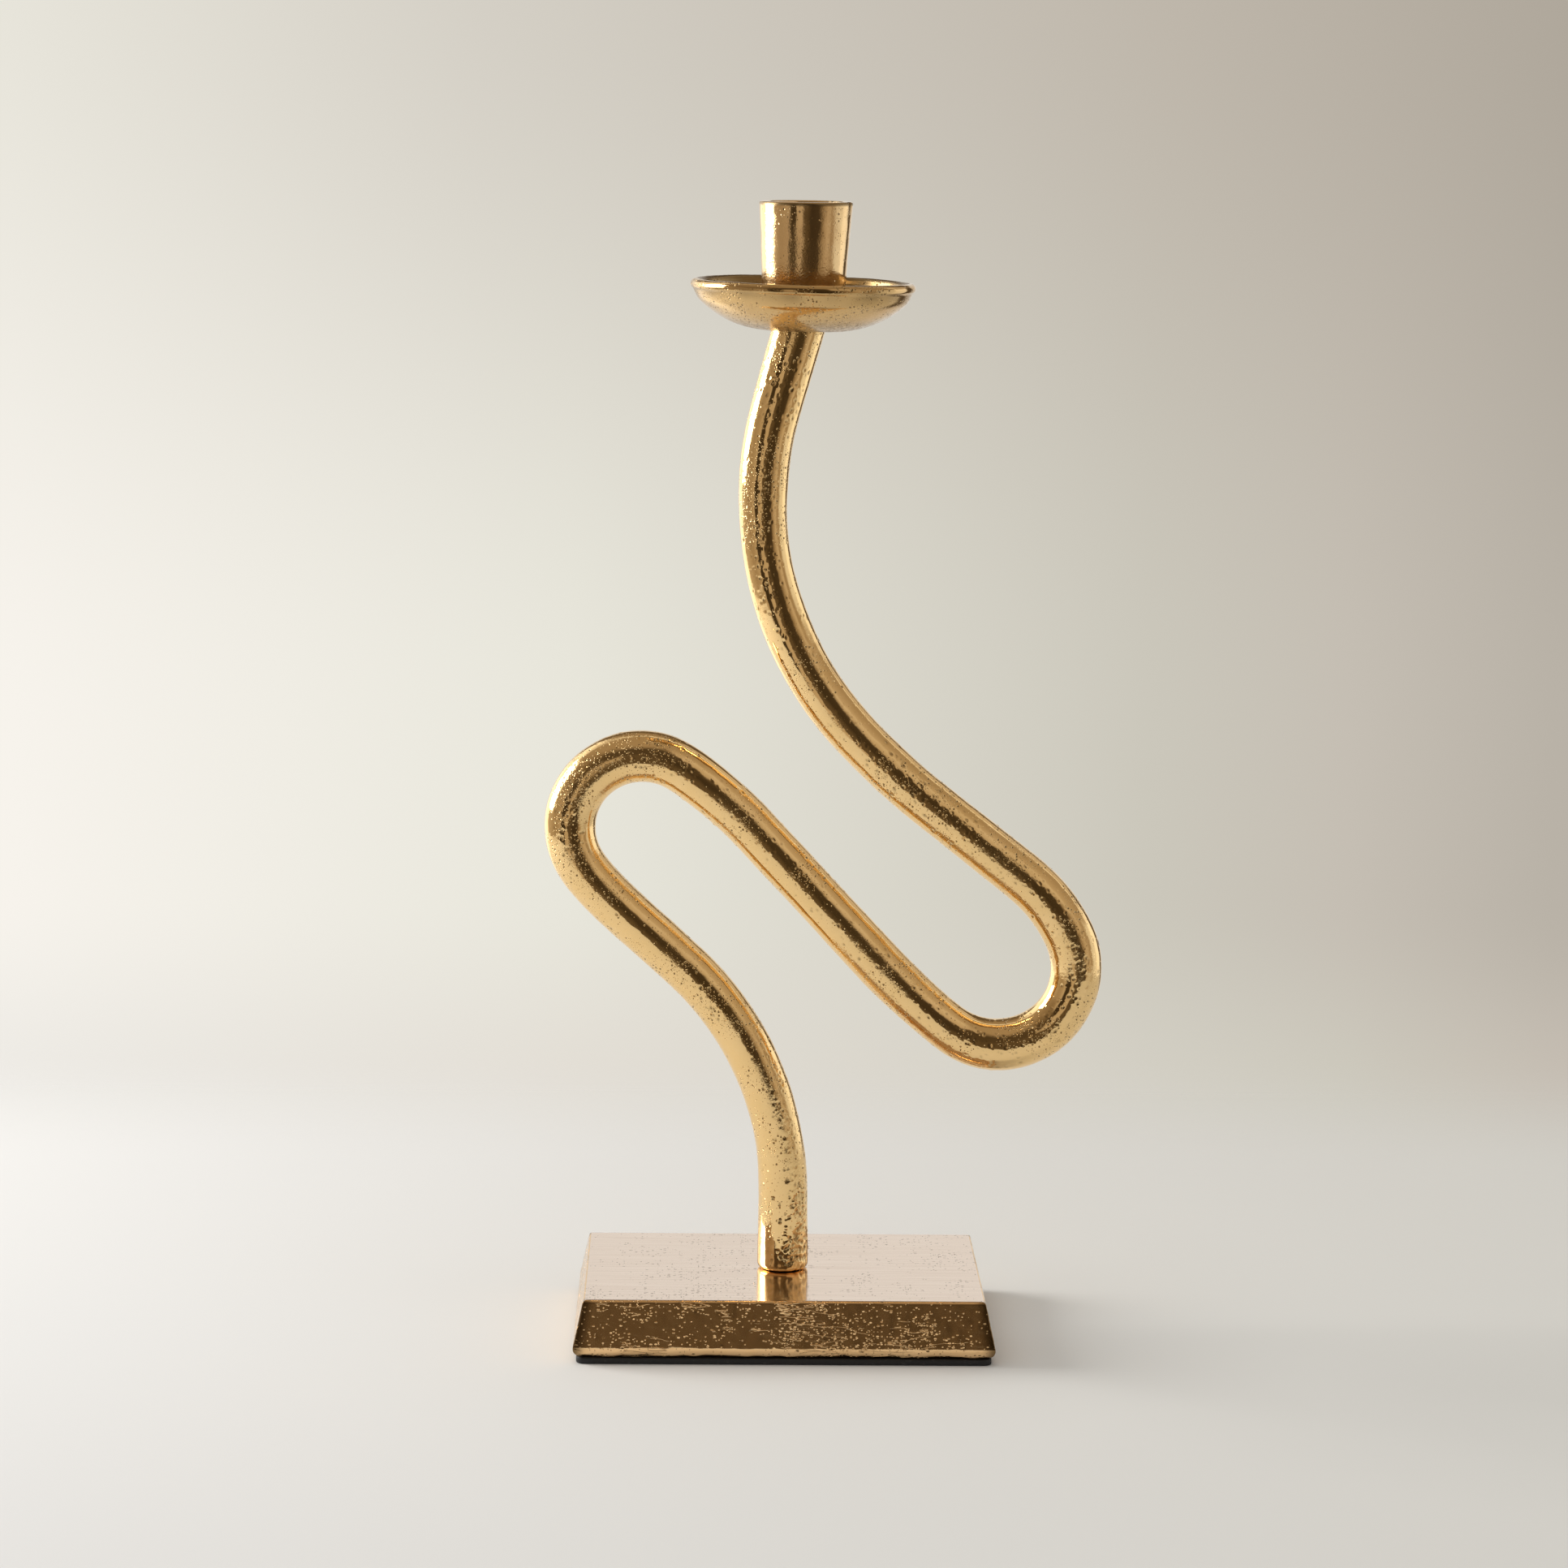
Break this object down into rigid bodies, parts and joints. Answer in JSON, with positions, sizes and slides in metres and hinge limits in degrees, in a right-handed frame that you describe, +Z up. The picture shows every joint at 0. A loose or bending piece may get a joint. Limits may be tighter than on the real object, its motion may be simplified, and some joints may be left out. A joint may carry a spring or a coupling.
{
  "type": "candle holder",
  "caption": "Tabletop holder for one taper candle: a slab base, a serpentine round-bar stem bent into hairpins, a shallow drip pan and a tapered candle cup.",
  "frame": {"origin": "middle of the underside of the pad, where the holder rests", "axes": "+Z up towards the candle cup, +X to the viewer's right along the base, -Y towards the viewer"},
  "size_m": [0.172, 0.0842, 0.3499],
  "materials": {
    "base_brass": "cast brass, brushed and polished top, sparkling cast sides",
    "stem_brass": "cast brass, satin polish with pits and dark patina",
    "pan_brass": "cast brass, satin polish",
    "cup_brass": "cast brass, satin polish, grainy foot",
    "pad": "matt black",
    "fastener_steel": "zinc plated"
  },
  "bodies": {
    "root": {"base_pad": "pad", "base_plate": "base_brass", "base_washer": "fastener_steel", "base_spring_washer": "fastener_steel", "base_screw": "fastener_steel", "stem": "stem_brass", "drip_pan": "pan_brass", "candle_cup": "cup_brass", "cup_screw": "fastener_steel"}
  },
  "joints": []
}
